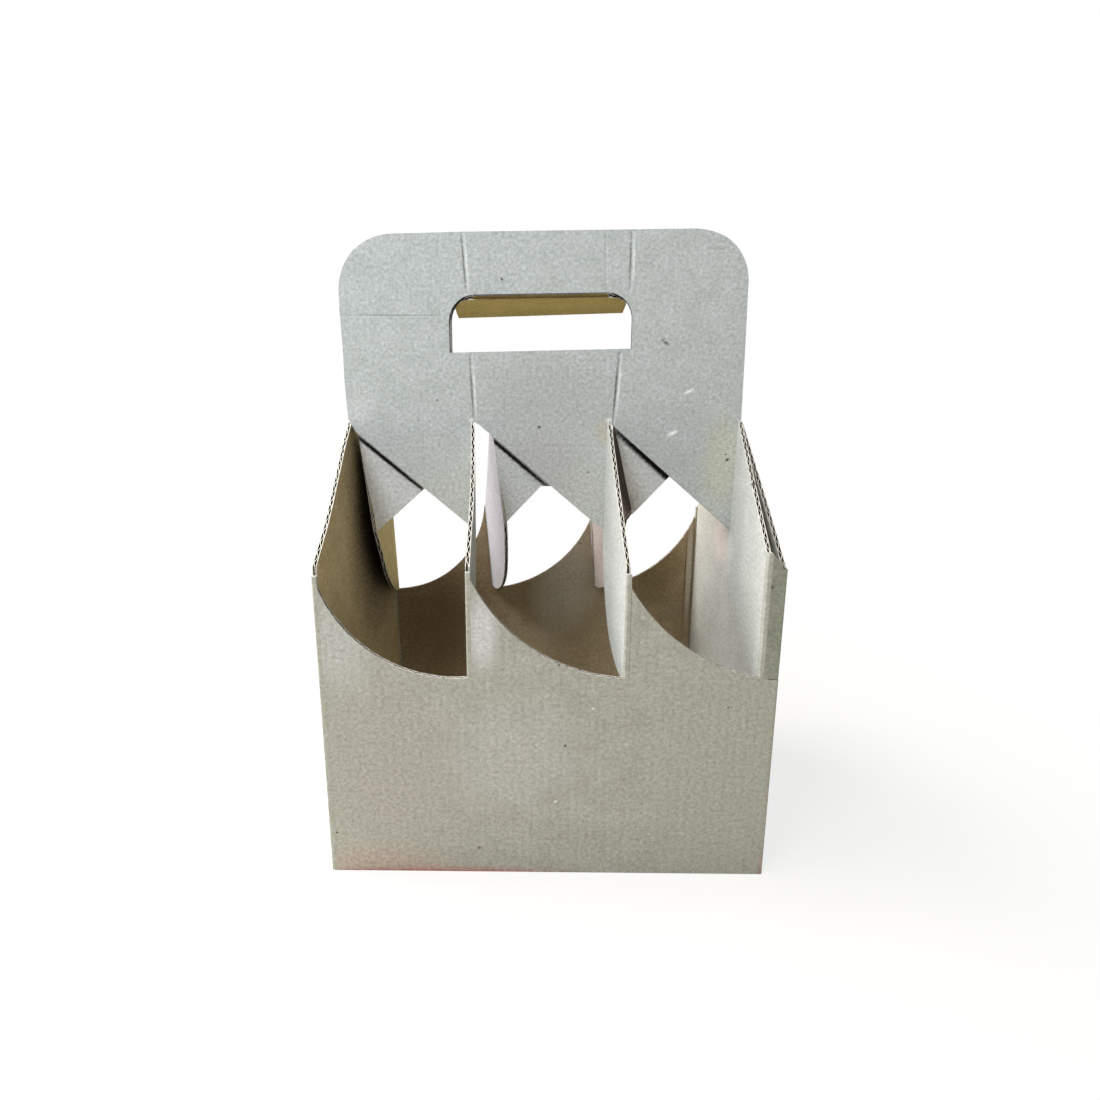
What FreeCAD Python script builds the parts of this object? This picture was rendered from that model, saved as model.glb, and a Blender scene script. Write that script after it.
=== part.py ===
import FreeCAD, Part
import math
import os

# Bottle shipping box: one sheet of fluted board, die cut, folded and glued.
# Millimetres. Origin at the middle of the base, Z up, front panel at -Y.

# board
board = 1.9               # thickness of the fluted board
bend_out = 2.2            # outside radius of a folded corner
bend_in = 0.4             # inside radius of a folded corner

# tube
width = 200.0             # outside, left wall to right wall
depth = 138.0             # outside, front panel to rear panel
low = 97.0                # height of the panel where a cell opening bottoms out
high_front = 144.0        # top of the front panel's teeth and front corners
high_rear = 151.0         # top of the rear panel's teeth and rear corners
peak = 206.8              # height at which walls and straps meet the handle
end_flap = 62.0           # length of the bottom flaps folded in from the walls
seam = 0.6                # gap where the two long bottom flaps meet

# cell openings, positions measured from the left wall's outer face
front_fold_1 = 64.7       # fold of strap 1 on the front panel
front_fold_2 = 133.2      # fold of strap 2 on the front panel
strip = 9.0               # strip between strap 3 and the front right corner
strip_rise = 9.0          # how far the strip's fold stands above the corner
strip_cut = 0.5           # width of the cut under the strip
rear_fold_1 = 63.5        # fold of rear strap 1 on the rear panel
rear_fold_2 = 132.0       # fold of rear strap 2 on the rear panel
panel_sag = 0.145         # how far a panel's cut edge bows below its chord, per length
strap_sag = 0.22          # the same for the lower edge of a strap

# handle, two plies back to back in the middle of the depth
handle_top = 298.0
handle_over = 3.0         # how far the handle stands out past the left wall
corner_left = 24.0        # radius of the upper left corner
corner_right = 27.0       # radius of the upper right corner
tip = 149.3               # height of the lower tips of the handle's teeth
tooth_drop = 3.0          # start of a tooth's slope below the peak
tooth_gap = 2.0           # from one tooth's fold to the next tooth's slope
ply_fold_1 = 61.8         # folds of the front ply, from the left wall
ply_fold_2 = 131.8
ply_fold_3 = 198.6
back_fold_0 = 6.0         # folds of the rear ply, from the left wall
back_fold_1 = 74.5
back_fold_2 = 140.5

# hand hole and its flap
hole_drop = 29.4          # from the handle's top down to the crease
hole_height = 27.1
hole_left = 50.3          # from the left wall
hole_right = 142.6
hole_corner = 12.7        # radius of the hole's upper corners
back_grow = 1.6           # how much wider the rear ply's hole is, all round
flap_gap = 2.0            # clearance between the flap and the hole's edges
crease_gap = 0.3          # clearance above the rolled edge at the crease
flap_open = 77.0          # how far the flap is pushed back, degrees

# the origin is the middle of the base of everything, handle included
x_left = -(width - handle_over) / 2
x_right = x_left + width
y_front = -depth / 2
y_rear = depth / 2


hole_high = handle_top - hole_drop
hole_low = hole_high - hole_height


def v(x, y, z):
    return FreeCAD.Vector(x, y, z)


def solid_from(edges, direction):
    face = Part.Face(Part.Wire(edges))
    return face.extrude(direction)


def box(x0, x1, y0, y1, z0, z1):
    return Part.makeBox(x1 - x0, y1 - y0, z1 - z0, v(x0, y0, z0))


def bowed(a, b, side, sag):
    # arc from a to b in an XZ or YZ plane, bowed down towards the side given
    chord = b.sub(a)
    length = chord.Length
    flat = math.hypot(chord.x, chord.y)
    run = v(chord.x / flat, chord.y / flat, 0)
    normal = v(0, 0, 0)
    normal = normal.add(run.multiply(side * abs(chord.z) / length))
    normal = normal.add(v(0, 0, -flat / length))
    middle = a.add(b).multiply(0.5).add(normal.multiply(sag * length))
    return Part.Arc(a, middle, b).toShape()


def upright_edges(shape, reach):
    found = []
    for edge in shape.Edges:
        box_of = edge.BoundBox
        if box_of.ZLength > reach and box_of.XLength < 0.01 and box_of.YLength < 0.01:
            found.append(edge)
    return found


# tube: four walls and a closed bottom, folded round with small radii
outer = box(x_left, x_right, y_front, y_rear, 0, peak)
bottom_edges = [edge for edge in outer.Edges if edge.BoundBox.ZMax < 0.01]
outer = outer.makeFillet(bend_out, upright_edges(outer, board) + bottom_edges)
inner = box(x_left + board, x_right - board, y_front + board, y_rear - board, 2 * board, peak + 1)
inner = inner.makeFillet(bend_in, upright_edges(inner, board))
tube = outer.cut(inner)

# bottom: two long flaps that meet in the middle, end flaps glued on top of them
well = box(x_left + board + end_flap, x_right - board - end_flap,
           y_front + board, y_rear - board, board, 3 * board)
groove = box(x_left + bend_out, x_right - bend_out, -seam / 2, seam / 2, -1, board)
tube = tube.cut(well).cut(groove)

# side walls: the top edges rise from the corners to the peak
roof = [
    v(x_left - 1, y_front - 1, high_front),
    v(x_left - 1, y_front, high_front),
    v(x_left - 1, -board, peak),
    v(x_left - 1, board, peak),
    v(x_left - 1, y_rear, high_rear),
    v(x_left - 1, y_rear + 1, high_rear),
    v(x_left - 1, y_rear + 1, peak + 9),
    v(x_left - 1, y_front - 1, peak + 9),
]
tube = tube.cut(solid_from(Part.makePolygon(roof + roof[:1]).Edges, v(width + 2, 0, 0)))


def opening(fold_high, fold_low, y, top, thick):
    # the part cut away above one cell: a bowed edge, low at one fold, high at the other
    a = v(fold_high, y, top)
    b = v(fold_low, y, low)
    c = v(fold_low, y, peak + 9)
    d = v(fold_high, y, peak + 9)
    side = 1 if fold_high > fold_low else -1
    arc = bowed(a, b, side, panel_sag)
    rest = Part.makePolygon([b, c, d, a]).Edges
    return solid_from([arc] + rest, v(0, thick, 0))


# front panel: three openings, low at their right ends
front_right = x_right - board
f0 = x_left + board
f1 = x_left + front_fold_1
f2 = x_left + front_fold_2
front_cuts = [
    opening(f0, f1, y_front - 1, high_front, board + 2),
    opening(f1, f2, y_front - 1, high_front, board + 2),
    opening(f2, front_right, y_front - 1, high_front, board + 2),
]
for part in front_cuts:
    tube = tube.cut(part)

# rear panel: the same three, turned half round, low at their left ends
rear_left = x_left + board
r1 = x_left + rear_fold_1
r2 = x_left + rear_fold_2
rear_cuts = [
    opening(r1, rear_left, y_rear - board - 1, high_rear, board + 2),
    opening(r2, r1, y_rear - board - 1, high_rear, board + 2),
    opening(x_right - board, r2, y_rear - board - 1, high_rear, board + 2),
]
for part in rear_cuts:
    tube = tube.cut(part)


def strap(start, end, top, skew):
    # a slanting strap from its panel fold (start) to its ply fold (end), in plan;
    # skew gives the side on which the thickness lies
    run = end.sub(start)
    length = run.Length
    across = v(-run.y / length, run.x / length, 0).multiply(skew * board)
    a = v(start.x, start.y, low)
    b = v(end.x, end.y, tip)
    c = v(end.x, end.y, peak)
    d = v(start.x, start.y, top)
    arc = bowed(b, a, -1, strap_sag)
    rest = Part.makePolygon([a, d, c, b]).Edges
    return solid_from([arc] + rest, across)


# straps of the front half: left face on the outside of the sheet
s3 = x_right - strip
p1 = x_left + ply_fold_1
p2 = x_left + ply_fold_2
p3 = x_left + ply_fold_3
straps = [
    strap(v(f1, y_front + board / 2, 0), v(p1, -board / 2, 0), high_front, -1),
    strap(v(f2, y_front + board / 2, 0), v(p2, -board / 2, 0), high_front, -1),
    strap(v(s3, y_front + board / 2, 0), v(p3 - board, -board / 2, 0), high_front + strip_rise, -1),
]

# straps of the rear half, turned half round
q0 = x_left + back_fold_0
q1 = x_left + back_fold_1
q2 = x_left + back_fold_2
straps += [
    strap(v(x_left + 2 * board, y_rear - board / 2, 0), v(q0, board / 2, 0), high_rear, -1),
    strap(v(r1, y_rear - board / 2, 0), v(q1, board / 2, 0), high_rear, -1),
    strap(v(r2, y_rear - board / 2, 0), v(q2, board / 2, 0), high_rear, -1),
]

# strip between strap 3 and the front right corner, cut free of the front panel below
strip_shape = [
    v(s3, y_front, low + strip_cut),
    v(x_right - board / 2, y_front, low + strip_cut),
    v(x_right - board / 2, y_front, high_front),
    v(s3, y_front, high_front + strip_rise),
]
strip_solid = solid_from(Part.makePolygon(strip_shape + strip_shape[:1]).Edges, v(0, board, 0))


def tooth(start, fold):
    # triangle of the front ply under the handle, its fold on the right
    shape = [v(start, 0, peak - tooth_drop), v(fold, 0, tip), v(fold, 0, peak), v(start, 0, peak)]
    return Part.makePolygon(shape + shape[:1]).Edges


def handle_face(y, thick):
    left = x_left - handle_over
    right = x_right
    base = peak - 0.5
    p = [
        v(left, y, base),
        v(right, y, base),
        v(right, y, handle_top - corner_right),
        v(right - corner_right, y, handle_top),
        v(left + corner_left, y, handle_top),
        v(left, y, handle_top - corner_left),
    ]
    k = math.sqrt(0.5)
    m_right = v(right - corner_right * (1 - k), y, handle_top - corner_right * (1 - k))
    m_left = v(left + corner_left * (1 - k), y, handle_top - corner_left * (1 - k))
    edges = [
        Part.makeLine(p[0], p[1]),
        Part.makeLine(p[1], p[2]),
        Part.Arc(p[2], m_right, p[3]).toShape(),
        Part.makeLine(p[3], p[4]),
        Part.Arc(p[4], m_left, p[5]).toShape(),
        Part.makeLine(p[5], p[0]),
    ]
    return solid_from(edges, v(0, thick, 0))


def hole_edges(y, gap):
    # outline of the hand hole, square below and rounded above, drawn in by a gap
    left = x_left + hole_left + gap
    right = x_left + hole_right - gap
    bottom = hole_low + gap
    top = hole_high - gap
    r = hole_corner - max(gap, 0)
    k = math.sqrt(0.5)
    m_right = v(right - r * (1 - k), y, top - r * (1 - k))
    m_left = v(left + r * (1 - k), y, top - r * (1 - k))
    return [
        Part.makeLine(v(left, y, bottom), v(right, y, bottom)),
        Part.makeLine(v(right, y, bottom), v(right, y, top - r)),
        Part.Arc(v(right, y, top - r), m_right, v(right - r, y, top)).toShape(),
        Part.makeLine(v(right - r, y, top), v(left + r, y, top)),
        Part.Arc(v(left + r, y, top), m_left, v(left, y, top - r)).toShape(),
        Part.makeLine(v(left, y, top - r), v(left, y, bottom)),
    ]


# handle plies and their teeth
front_teeth = [
    solid_from(tooth(x_left, p1), v(0, board, 0)),
    solid_from(tooth(p1 + tooth_gap, p2), v(0, board, 0)),
    solid_from(tooth(p2 + tooth_gap, p3), v(0, board, 0)),
]
rear_teeth = [
    solid_from(tooth(q1 - tooth_gap, q0), v(0, board, 0)),
    solid_from(tooth(q2 - tooth_gap, q1), v(0, board, 0)),
    solid_from(tooth(x_right, q2), v(0, board, 0)),
]
handle = handle_face(-board, 2 * board)
for part in front_teeth:
    part.translate(v(0, -board, 0))
    handle = handle.fuse(part)
for part in rear_teeth:
    handle = handle.fuse(part)
handle = handle.cut(solid_from(hole_edges(-2 * board, 0), v(0, 2 * board, 0)))
handle = handle.cut(solid_from(hole_edges(0, -back_grow), v(0, 2 * board, 0)))

# the whole folded and glued sheet
carrier = tube.fuse(straps + [strip_solid, handle]).removeSplitter()

# flap of the hand hole, drawn closed in the front ply and then pushed back
crease_z = hole_high - crease_gap - board / 2
flap = solid_from(hole_edges(-board, flap_gap), v(0, board, 0))
flap = flap.common(box(x_left, x_right, -board, 0, hole_low, crease_z))
crease_left = x_left + hole_left + hole_corner
crease_right = x_left + hole_right - hole_corner
roll = Part.makeCylinder(board / 2, crease_right - crease_left,
                         v(crease_left, -board / 2, crease_z), v(1, 0, 0))
flap = flap.fuse(roll).removeSplitter()
flap.rotate(v(0, -board / 2, crease_z), v(1, 0, 0), flap_open)

os.makedirs("parts", exist_ok=True)
carrier.exportStep("parts/carrier.step")
flap.exportStep("parts/hand_hole_flap.step")
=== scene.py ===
import math

import bpy
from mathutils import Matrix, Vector


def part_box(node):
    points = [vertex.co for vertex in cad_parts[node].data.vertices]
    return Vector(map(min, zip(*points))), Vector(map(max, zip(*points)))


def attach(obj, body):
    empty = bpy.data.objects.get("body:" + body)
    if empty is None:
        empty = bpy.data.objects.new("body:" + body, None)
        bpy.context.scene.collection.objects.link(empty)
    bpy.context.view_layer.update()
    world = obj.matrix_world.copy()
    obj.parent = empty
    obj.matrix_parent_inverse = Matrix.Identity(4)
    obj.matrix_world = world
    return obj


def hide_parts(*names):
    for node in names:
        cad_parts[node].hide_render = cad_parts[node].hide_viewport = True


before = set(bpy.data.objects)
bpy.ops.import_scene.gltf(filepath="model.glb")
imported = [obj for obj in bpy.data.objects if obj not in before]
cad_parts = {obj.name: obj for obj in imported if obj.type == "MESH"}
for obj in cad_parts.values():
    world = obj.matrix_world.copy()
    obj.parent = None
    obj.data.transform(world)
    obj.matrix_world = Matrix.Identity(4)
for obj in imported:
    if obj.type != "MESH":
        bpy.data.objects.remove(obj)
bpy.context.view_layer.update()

# A box for bottles, die cut from one sheet of small-fluted board, folded and glued.
# Plan sizes are millimetres from the left wall's outer face and the front panel's face.

# the frame's own corners, and where the box's left wall and front panel stand in it
low_corner, high_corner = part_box("carrier")
HANDLE_OVER = 3.0
LEFT = low_corner.x * 1000 + HANDLE_OVER
RIGHT = high_corner.x * 1000
FRONT = low_corner.y * 1000
WIDTH = RIGHT - LEFT
DEPTH = high_corner.y * 1000 - FRONT
TOP = high_corner.z * 1000

# the board
BOARD = 1.9
LINER = 0.32
FLUTE_PAPER = 0.28
PITCH = 4.1
FLUTE_STEPS = 8
BEND = BOARD + 0.3

# heights
HIGH_FRONT = 144.5
HIGH_REAR = 151.0
PEAK = 206.8
TIP = 149.3

# the hand hole
CREASE = TOP - 29.4
HOLE_LOW = CREASE - 27.1
HOLE_LEFT = 50.5
HOLE_RIGHT = 142.0
HOLE_CORNER = 12.7
ARC_INSET = 0.293         # how far the middle of a quarter arc stands in from its corner, per radius
TILT_X = 96.5             # the hole is cut askew about this place
TILT_REACH = 45.5
REAR_HOLE_ASIDE = 0.9     # how far the rear ply's hole lies off the front ply's
REAR_HOLE_RISE = 0.5
FLAP_GAP = 1.6
FLAP_OPEN = 80.2
FLAP_TWIST = 1.7

END_FLAP = 62.0
MIDDLE = DEPTH / 2


def at(x, y, z):
    """A place in the frame from plan millimetres."""
    return Vector((x + LEFT, y + FRONT, z)) / 1000


# outlines: points of straight runs and arcs

def circle_through(a, b, c):
    """Centre and radius of the circle through three points."""
    ax, az, bx, bz, cx, cz = *a, *b, *c
    d = 2 * (ax * (bz - cz) + bx * (cz - az) + cx * (az - bz))
    a2, b2, c2 = ax * ax + az * az, bx * bx + bz * bz, cx * cx + cz * cz
    x = (a2 * (bz - cz) + b2 * (cz - az) + c2 * (az - bz)) / d
    z = (a2 * (cx - bx) + b2 * (ax - cx) + c2 * (bx - ax)) / d
    return x, z, math.hypot(ax - x, az - z)


def arc(a, through, b, step=2.5):
    """Points after a, along the arc that passes a middle point and ends at b."""
    x, z, r = circle_through(a, through, b)
    start = math.atan2(a[1] - z, a[0] - x)
    middle = (math.atan2(through[1] - z, through[0] - x) - start) % (2 * math.pi)
    end = (math.atan2(b[1] - z, b[0] - x) - start) % (2 * math.pi)
    if middle > end:
        end -= 2 * math.pi
    count = max(3, int(abs(end) * r / step))
    turns = [start + end * k / count for k in range(1, count)]
    return [(x + r * math.cos(t), z + r * math.sin(t)) for t in turns] + [tuple(b)]


def outline(start, *runs):
    """An outline's points: each run is an end point, or a middle and an end for an arc."""
    points = [tuple(start)]
    for run in runs:
        if isinstance(run[0], (tuple, list)):
            points += arc(points[-1], run[0], run[1])
        else:
            points.append(tuple(run))
    return points


# working with one piece at a time, in edit mode

def only(obj):
    """Makes obj the one selected and active object."""
    if bpy.context.object and bpy.context.object.mode == "EDIT":
        bpy.ops.object.mode_set(mode="OBJECT")
    bpy.ops.object.select_all(action="DESELECT")
    obj.select_set(True)
    bpy.context.view_layer.objects.active = obj
    return obj


def edit(obj):
    only(obj)
    bpy.ops.object.mode_set(mode="EDIT")
    bpy.ops.mesh.select_all(action="SELECT")


def edit_selected(obj):
    """Edit mode with the vertices that were picked by their place."""
    only(obj)
    bpy.ops.object.mode_set(mode="EDIT")
    bpy.ops.mesh.select_mode(type="VERT")


def done():
    bpy.ops.object.mode_set(mode="OBJECT")


def copy_of(obj, name):
    twin = obj.copy()
    twin.data = obj.data.copy()
    twin.name = name
    bpy.context.collection.objects.link(twin)
    return twin


def remove(obj):
    bpy.data.objects.remove(obj)


def draw(name, points):
    """One flat face in the XZ plane, drawn round its outline point by point."""
    bpy.ops.object.select_all(action="DESELECT")
    bpy.ops.mesh.primitive_plane_add(size=0.001, location=(0, 0, 0))
    obj = bpy.context.object
    obj.name = name
    edit(obj)
    bpy.ops.mesh.merge(type="CENTER")
    here = Vector((points[0][0], 0, points[0][1])) / 1000
    bpy.ops.transform.translate(value=here)
    for x, z in points[1:]:
        there = Vector((x, 0, z)) / 1000
        bpy.ops.mesh.extrude_vertices_move(TRANSFORM_OT_translate={"value": there - here})
        here = there
    bpy.ops.mesh.select_all(action="SELECT")
    bpy.ops.mesh.edge_face_add()
    done()
    return obj


def thicken(obj, y0, y1):
    """Turns a flat face into a slab between two depths."""
    edit(obj)
    bpy.ops.transform.translate(value=(0, y0 / 1000, 0))
    bpy.ops.mesh.extrude_region_move(TRANSFORM_OT_translate={"value": (0, (y1 - y0) / 1000, 0)})
    bpy.ops.mesh.select_all(action="SELECT")
    bpy.ops.mesh.normals_make_consistent(inside=False)
    done()
    return obj


def slice_up(obj, step):
    """Cuts a flat face into squares, so that it can be bent."""
    edit(obj)
    box = [Vector(corner) for corner in obj.bound_box]
    for axis, normal in ((0, (1, 0, 0)), (2, (0, 0, 1))):
        first = min(corner[axis] for corner in box)
        last = max(corner[axis] for corner in box)
        count = max(1, round((last - first) * 1000 / step))
        for k in range(1, count):
            place = Vector((0, 0, 0))
            place[axis] = first + (last - first) * k / count
            bpy.ops.mesh.select_all(action="SELECT")
            bpy.ops.mesh.bisect(plane_co=place, plane_no=normal)
    done()


def cut_with(obj, tool, operation):
    only(obj)
    bpy.ops.object.modifier_add(type="BOOLEAN")
    modifier = obj.modifiers[-1]
    modifier.operation = operation
    modifier.solver = "EXACT"
    modifier.object = tool
    bpy.ops.object.modifier_apply(modifier=modifier.name)


def flutes(name, x0, x1, z0, z1, step):
    """The wavy paper between the liners: a strip pleated along its run, then given its thickness.
    Its rows are a step high, so that it bends with the liners."""
    count = math.ceil((x1 - x0) / PITCH) + 1
    columns = count * FLUTE_STEPS
    length = count * PITCH / 1000
    bpy.ops.object.select_all(action="DESELECT")
    rows = max(1, round((z1 - z0) / step))
    bpy.ops.mesh.primitive_grid_add(x_subdivisions=columns, y_subdivisions=rows, size=1,
                                    location=(0, 0, 0))
    obj = bpy.context.object
    obj.name = name
    edit(obj)
    bpy.ops.transform.resize(value=(length, (z1 - z0) / 1000, 1))
    bpy.ops.transform.rotate(value=math.pi / 2, orient_axis="X", center_override=(0, 0, 0))
    middle = Vector((x0 / 1000 + length / 2, BOARD / 2000, (z0 + z1) / 2000))
    bpy.ops.transform.translate(value=middle)
    done()
    swing = (BOARD / 2 - LINER - FLUTE_PAPER / 2 - 0.03) / 1000
    start = x0 / 1000
    for phase in range(FLUTE_STEPS):
        height = swing * math.cos(2 * math.pi * phase / FLUTE_STEPS)
        edit(obj)
        bpy.ops.mesh.select_all(action="DESELECT")
        done()
        for vertex in obj.data.vertices:
            column = round((vertex.co.x - start) * 1000 / PITCH * FLUTE_STEPS)
            vertex.select = column % FLUTE_STEPS == phase
        edit_selected(obj)
        bpy.ops.transform.translate(value=(0, height, 0))
        done()
    only(obj)
    bpy.ops.object.modifier_add(type="SOLIDIFY")
    obj.modifiers[-1].thickness = FLUTE_PAPER / 1000
    obj.modifiers[-1].offset = 0
    bpy.ops.object.modifier_apply(modifier=obj.modifiers[-1].name)
    return obj


def join(objs, name):
    only(objs[0])
    for obj in objs[1:]:
        obj.select_set(True)
    bpy.ops.object.join()
    objs[0].name = name
    objs[0].data.name = name
    return objs[0]


def map_blank(obj, flat):
    """A UV map in metres of the flat blank, so that fibres and flutes follow the sheet. flat gives
    a vertex its place on the blank."""
    layer = obj.data.uv_layers.active or obj.data.uv_layers.new(name="blank")
    layer.name = "blank"
    for loop in obj.data.loops:
        layer.data[loop.index].uv = flat(obj.data.vertices[loop.vertex_index].co)


def keep_flat_map(obj, shift):
    """The map of a piece that still lies flat, shifted to its own place in the paper."""
    map_blank(obj, lambda place: (place.x + shift, place.z))


def in_box(spot, points):
    """Whether a place is within the reach of an outline, in x and z."""
    xs = [point[0] for point in points]
    zs = [point[1] for point in points]
    return min(xs) - 0.5 < spot.x < max(xs) + 0.5 and min(zs) - 0.5 < spot.z < max(zs) + 0.5


def sheet(name, points, holes=(), step=14, shift=0.0, liners=None):
    """A flat piece of board: outer liner at depth 0, flutes, inner liner."""
    face = draw(name + "_face", points)
    tool = thicken(copy_of(face, name + "_tool"), -2, BOARD + 2)
    xs = [p[0] for p in points]
    zs = [p[1] for p in points]
    wave = flutes(name + "_flutes", min(xs) - 1, max(xs) + 1, min(zs) - 1, max(zs) + 1, step)
    cut_with(wave, tool, "INTERSECT")
    slice_up(face, step)
    outer = copy_of(face, name + "_outer")
    thicken(outer, 0, LINER)
    thicken(face, BOARD - LINER, BOARD)
    for hole in holes:
        punch = thicken(draw(name + "_punch", hole), -2, BOARD + 2)
        for layer in (outer, face, wave):
            cut_with(layer, punch, "DIFFERENCE")
        remove(punch)
    remove(tool)
    front, back = liners or (outside, inside)
    for layer, skin in ((outer, front), (face, back), (wave, flute_painted_shade)):
        layer.data.materials.clear()
        for material in (skin, cut_edge, flute_painted_shade, hole_edge):
            layer.data.materials.append(material)
        hidden = 1 if layer is outer else -1
        for polygon in layer.data.polygons:
            slope = polygon.normal.y
            polygon.material_index = 1 if abs(slope) < 0.1 else 2 if slope * hidden > 0.7 else 0
            if holes and abs(slope) < 0.1 and in_box(polygon.center * 1000, holes[0]):
                polygon.material_index = 3
    obj = join([outer, face, wave], name)
    keep_flat_map(obj, shift)
    return obj


def fold_to(obj, place, across=5, up=5):
    """Bends a flat piece to its place in the box with a lattice round it."""
    corners = [Vector(corner) for corner in obj.bound_box]
    low = Vector([min(c[i] for c in corners) for i in range(3)])
    high = Vector([max(c[i] for c in corners) for i in range(3)])
    bpy.ops.object.select_all(action="DESELECT")
    bpy.ops.object.add(type="LATTICE", location=(low + high) / 2)
    cage = bpy.context.object
    cage.data.points_u = across
    cage.data.points_v = 2
    cage.data.points_w = up
    for axis in ("u", "v", "w"):
        setattr(cage.data, "interpolation_type_" + axis, "KEY_LINEAR")
    own = [p.co.copy() for p in cage.data.points]
    span = [max(c[i] for c in own) - min(c[i] for c in own) for i in range(3)]
    base = [min(c[i] for c in own) for i in range(3)]
    cage.scale = [(high[i] - low[i]) / span[i] for i in range(3)]
    bpy.context.view_layer.update()
    back = cage.matrix_world.inverted()
    for point, co in zip(cage.data.points, own):
        flat = [low[i] + (co[i] - base[i]) / span[i] * (high[i] - low[i]) for i in range(3)]
        point.co_deform = back @ place(flat[0] * 1000, flat[1] * 1000, flat[2] * 1000)
    only(obj)
    bpy.ops.object.modifier_add(type="LATTICE")
    obj.modifiers[-1].object = cage
    bpy.ops.object.modifier_apply(modifier=obj.modifiers[-1].name)
    remove(cage)
    return obj


def between(a, b, a_top, b_top, run, z0, z1, bow=None):
    """A place function for an upright piece: a and b are plan points of its two ends at height
    z0, a_top and b_top at height z1, and run the flat length from a to b. The thickness goes to
    the left of the way from a to b. bow adds a plan shift at a share along and a height."""
    def place(x, y, z):
        t = x / run
        h = (z - z0) / (z1 - z0)
        p = Vector(a).lerp(Vector(a_top), h)
        q = Vector(b).lerp(Vector(b_top), h)
        way = (q - p).normalized()
        spot = p.lerp(q, t) + Vector((-way.y, way.x)) * y
        if bow:
            spot += Vector(bow(t, z))
        return at(spot.x, spot.y, z)
    return place


def upright(a, b, run, z0, z1, bow=None):
    """The same for a piece whose two ends stand upright."""
    return between(a, b, a, b, run, z0, z1, bow)


def fold(name, x, y, first, last, z0, z1, lean=0.0, tight=0.45, liner=None):
    """The bend of a fold: an upright piece round x, y, from one bearing in degrees to another,
    just rounded outside, leaning sideways over its height."""
    r_in = BEND - BOARD
    turns = [math.radians(bearing) for bearing in (first, last)]
    start, end = (Vector((math.cos(turn), math.sin(turn))) for turn in turns)
    corner = (start + end) * BEND / (1 + start.dot(end))
    ring = [start * BEND]
    rise, fall = corner.lerp(start * BEND, tight), corner.lerp(end * BEND, tight)
    ring += [rise.lerp(corner, t).lerp(corner.lerp(fall, t), t) for t in (0, 0.25, 0.5, 0.75, 1)]
    ring += [end * BEND, end * r_in, start * r_in]
    ring = [tuple(point) for point in ring]
    obj = draw(name, ring)
    edit(obj)
    bpy.ops.transform.rotate(value=math.pi / 2, orient_axis="X", center_override=(0, 0, 0))
    done()
    if sum(v.co.y for v in obj.data.vertices) * sum(p[1] for p in ring) < 0:
        edit(obj)
        bpy.ops.transform.rotate(value=math.pi, orient_axis="X", center_override=(0, 0, 0))
        done()
    edit(obj)
    bpy.ops.transform.translate(value=at(x, y, z0))
    rise = (lean / 1000, 0, (z1 - z0) / 1000)
    bpy.ops.mesh.extrude_region_move(TRANSFORM_OT_translate={"value": rise})
    bpy.ops.mesh.select_all(action="SELECT")
    bpy.ops.mesh.normals_make_consistent(inside=False)
    done()
    obj.data.materials.append(liner or outside)
    # the bend's inner faces take the brown liner, painted shade
    obj.data.materials.append(inside_brown_painted_shade)
    for polygon in obj.data.polygons:
        away = Vector(polygon.center[:2]) - at(x, y, 0).xy
        polygon.material_index = int(away.length < BEND / 2200 and abs(polygon.normal.z) < 0.5)
    map_blank(obj, lambda place: (place.x + place.y, place.z))
    return obj


# materials

def colour(text):
    """An sRGB hex value as linear colour."""
    parts = [int(text[i:i + 2], 16) / 255 for i in (1, 3, 5)]
    linear = [c / 12.92 if c <= 0.04045 else ((c + 0.055) / 1.055) ** 2.4 for c in parts]
    return (*linear, 1)


def node(tree, kind, settings=None, **links):
    """Adds a node, sets its properties and sockets, and links sources to its sockets. A key such
    as s6 means socket number 6."""
    made = tree.nodes.new(kind)
    for key, value in (settings or {}).items():
        if key[0] == "s" and key[1:].isdigit():
            made.inputs[int(key[1:])].default_value = value
        elif hasattr(made, key):
            setattr(made, key, value)
        else:
            made.inputs[key].default_value = value
    for key, source in links.items():
        socket = made.inputs[int(key[1:])] if key[1:].isdigit() else made.inputs[key]
        tree.links.new(source, socket)
    return made


def tinted(tree, where, grain, pulp, patch, shift):
    """The pulp with one soft oval of another tone, its edge ragged with the grain."""
    x, z, wide, high, turn, tone, strength = patch
    middle = (x / 1000 + shift, z / 1000, 0)
    centre = node(tree, "ShaderNodeVectorMath", {"operation": "SUBTRACT", "s1": middle}, i0=where)
    stretch = {"vector_type": "TEXTURE", "Scale": (wide / 1000, high / 1000, 1),
               "Rotation": (0, 0, math.radians(turn))}
    oval = node(tree, "ShaderNodeMapping", stretch, Vector=centre.outputs[0])
    reach = node(tree, "ShaderNodeVectorMath", {"operation": "LENGTH"}, i0=oval.outputs[0])
    ragged = node(tree, "ShaderNodeMath", {"operation": "MULTIPLY_ADD", "s1": 0.7, "s2": -0.35},
                  i0=grain.outputs[0])
    edge = node(tree, "ShaderNodeMath", {"operation": "ADD"}, i0=reach.outputs["Value"],
                i1=ragged.outputs[0])
    fade = {"interpolation_type": "SMOOTHSTEP", "From Min": 1.0, "From Max": 0.25, "To Max": strength}
    mask = node(tree, "ShaderNodeMapRange", fade, Value=edge.outputs[0])
    return node(tree, "ShaderNodeMix", {"data_type": "RGBA", "s7": colour(tone)},
                s0=mask.outputs[0], s6=pulp.outputs[2])


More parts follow.
